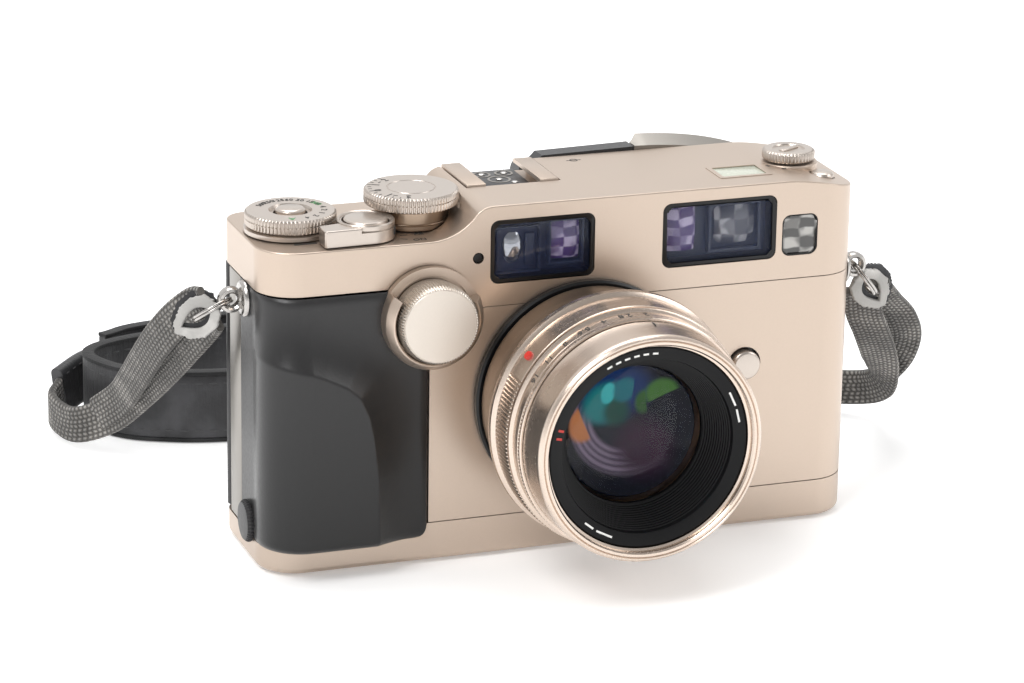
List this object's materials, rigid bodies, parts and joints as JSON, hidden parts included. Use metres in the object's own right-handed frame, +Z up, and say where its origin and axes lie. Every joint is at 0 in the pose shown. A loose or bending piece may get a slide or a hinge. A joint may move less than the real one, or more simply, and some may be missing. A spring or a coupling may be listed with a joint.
{
  "type": "rangefinder film camera with strap",
  "caption": "Autofocus rangefinder film camera with interchangeable lens, top control dials, accessory shoe and a folded neck strap.",
  "frame": {"origin": "centre of the body's width on the underside's socket pad, where the camera stands", "axes": "+Z up, -Y the way the lens points, +X towards the viewfinder end as seen from in front"},
  "size_m": [0.2, 0.176, 0.0826],
  "materials": {
    "champagne_titanium": "satin",
    "bright_steel": "polished",
    "grip_rubber": "matte",
    "black_enamel": "satin",
    "coated_glass": "polished",
    "dark_plastic": "matte",
    "cast_alloy": "cast",
    "grey_webbing": "woven",
    "black_leather": "grained",
    "worn_felt": "worn"
  },
  "bodies": {
    "camera": {"accessory_shoe": "bright_steel", "battery_cell": "bright_steel", "bottom_cover": "champagne_titanium", "cable_socket_cap": "grip_rubber", "chassis": "cast_alloy", "eyepiece_glass": "coated_glass", "finder_housing": "dark_plastic", "finder_objective": "coated_glass", "focus_dial_housing": "champagne_titanium", "front_barrel": "champagne_titanium", "front_cover": "champagne_titanium", "front_element": "coated_glass", "hand_grip": "grip_rubber", "iris_diaphragm": "black_enamel", "lcd_window": "coated_glass", "lens_base": "champagne_titanium", "lens_grip_ring": "champagne_titanium", "meter_window": "coated_glass", "mount_ring": "black_enamel", "name_ring": "black_enamel", "rangefinder_module": "black_enamel", "rear_group": "black_enamel", "ring_guard_left": "worn_felt", "ring_guard_right": "worn_felt", "shoe_contacts": "dark_plastic", "shutter_unit": "black_enamel", "side_plate": "champagne_titanium", "split_ring_left": "bright_steel", "split_ring_right": "bright_steel", "strap_band": "black_leather", "strap_end_left": "black_leather", "strap_end_right": "black_leather", "strap_lug_left": "bright_steel", "strap_lug_right": "bright_steel", "strap_webbing_left": "grey_webbing", "strap_webbing_right": "grey_webbing", "top_cover": "champagne_titanium", "tripod_socket": "bright_steel", "window_frame_left": "black_enamel", "window_frame_right": "black_enamel", "window_glass_left": "coated_glass", "window_glass_right": "coated_glass"},
    "shutter_button": {"shutter_button": "champagne_titanium"},
    "power_lever": {"power_lever": "champagne_titanium"},
    "shutter_dial": {"shutter_dial": "champagne_titanium"},
    "dial_lock": {"dial_lock_button": "champagne_titanium"},
    "exposure_dial": {"exposure_dial": "champagne_titanium"},
    "bracket_ring": {"bracket_ring": "champagne_titanium"},
    "focus_dial": {"focus_dial": "champagne_titanium"},
    "lens_release": {"lens_release_button": "champagne_titanium"},
    "aperture_ring": {"aperture_ring": "champagne_titanium"},
    "rear_door": {"rear_door": "dark_plastic", "pressure_plate": "black_enamel"},
    "door_latch": {"door_latch": "black_enamel"},
    "drive_dial": {"drive_dial": "champagne_titanium"},
    "mode_button": {"mode_button": "champagne_titanium"},
    "diopter_wheel": {"diopter_wheel": "grip_rubber"},
    "battery_cover": {"battery_cover": "bright_steel"},
    "take_up_spool": {"take_up_spool": "dark_plastic"},
    "rewind_fork": {"rewind_fork": "bright_steel"}
  },
  "joints": [
    {"name": "shutter_button_press", "type": "slide", "parent": "camera", "child": "shutter_button", "axis": [0, 0, -1], "range_m": [0, 0.001], "stiffness_N_per_m": 300},
    {"name": "power_lever_turn", "type": "hinge", "parent": "camera", "child": "power_lever", "pos_m": [-0.0441, -0.0082, 0.0755], "axis": [0, 0, 1], "range_deg": [0, 40]},
    {"name": "shutter_dial_turn", "type": "hinge", "parent": "camera", "child": "shutter_dial", "pos_m": [-0.058, 0.0012, 0.0755], "axis": [0, 0, 1], "continuous": true},
    {"name": "dial_lock_press", "type": "slide", "parent": "shutter_dial", "child": "dial_lock", "axis": [0, 0, -1], "range_m": [0, 0.0008], "stiffness_N_per_m": 300},
    {"name": "exposure_dial_turn", "type": "hinge", "parent": "camera", "child": "exposure_dial", "pos_m": [-0.0314, -0.0005, 0.0795], "axis": [0, 0, 1], "range_deg": [-90, 90]},
    {"name": "bracket_ring_turn", "type": "hinge", "parent": "camera", "child": "bracket_ring", "pos_m": [-0.0314, -0.0005, 0.0755], "axis": [0, 0, 1], "range_deg": [0, 50]},
    {"name": "focus_dial_turn", "type": "hinge", "parent": "camera", "child": "focus_dial", "pos_m": [-0.0324, -0.021, 0.0571], "axis": [0, -1, 0], "continuous": true},
    {"name": "lens_release_press", "type": "slide", "parent": "camera", "child": "lens_release", "axis": [0, 1, 0], "range_m": [0, 0.0015], "stiffness_N_per_m": 300},
    {"name": "aperture_ring_turn", "type": "hinge", "parent": "camera", "child": "aperture_ring", "pos_m": [0.00365, -0.045, 0.0364], "axis": [0, -1, 0], "range_deg": [-45, 45]},
    {"name": "rear_door_swing", "type": "hinge", "parent": "camera", "child": "rear_door", "pos_m": [-0.0662, 0.0154, 0.035], "axis": [0, 0, 1], "range_deg": [0, 95], "deforming": ["strap_band", "strap_end_left"]},
    {"name": "door_latch_slide", "type": "slide", "parent": "camera", "child": "door_latch", "axis": [0, 0, 1], "range_m": [0, 0.005], "stiffness_N_per_m": 300},
    {"name": "drive_dial_turn", "type": "hinge", "parent": "camera", "child": "drive_dial", "pos_m": [0.0576, 0.0008, 0.0814], "axis": [0, 0, 1], "range_deg": [-60, 60]},
    {"name": "mode_button_press", "type": "slide", "parent": "camera", "child": "mode_button", "axis": [0, 0, -1], "range_m": [0, 0.0006], "stiffness_N_per_m": 300},
    {"name": "diopter_wheel_turn", "type": "hinge", "parent": "camera", "child": "diopter_wheel", "pos_m": [0.0018, 0.0226, 0.0745], "axis": [1, 0, 0], "range_deg": [-90, 90]},
    {"name": "battery_cover_turn", "type": "hinge", "parent": "camera", "child": "battery_cover", "pos_m": [-0.044, 0, 0.0014], "axis": [0, 0, 1], "range_deg": [0, 90]},
    {"name": "take_up_spool_turn", "type": "hinge", "parent": "camera", "child": "take_up_spool", "pos_m": [-0.038, 0.001, 0.034], "axis": [0, 0, 1], "continuous": true},
    {"name": "rewind_fork_turn", "type": "hinge", "parent": "camera", "child": "rewind_fork", "pos_m": [0.0495, 0.0005, 0.05], "axis": [0, 0, 1], "continuous": true}
  ]
}
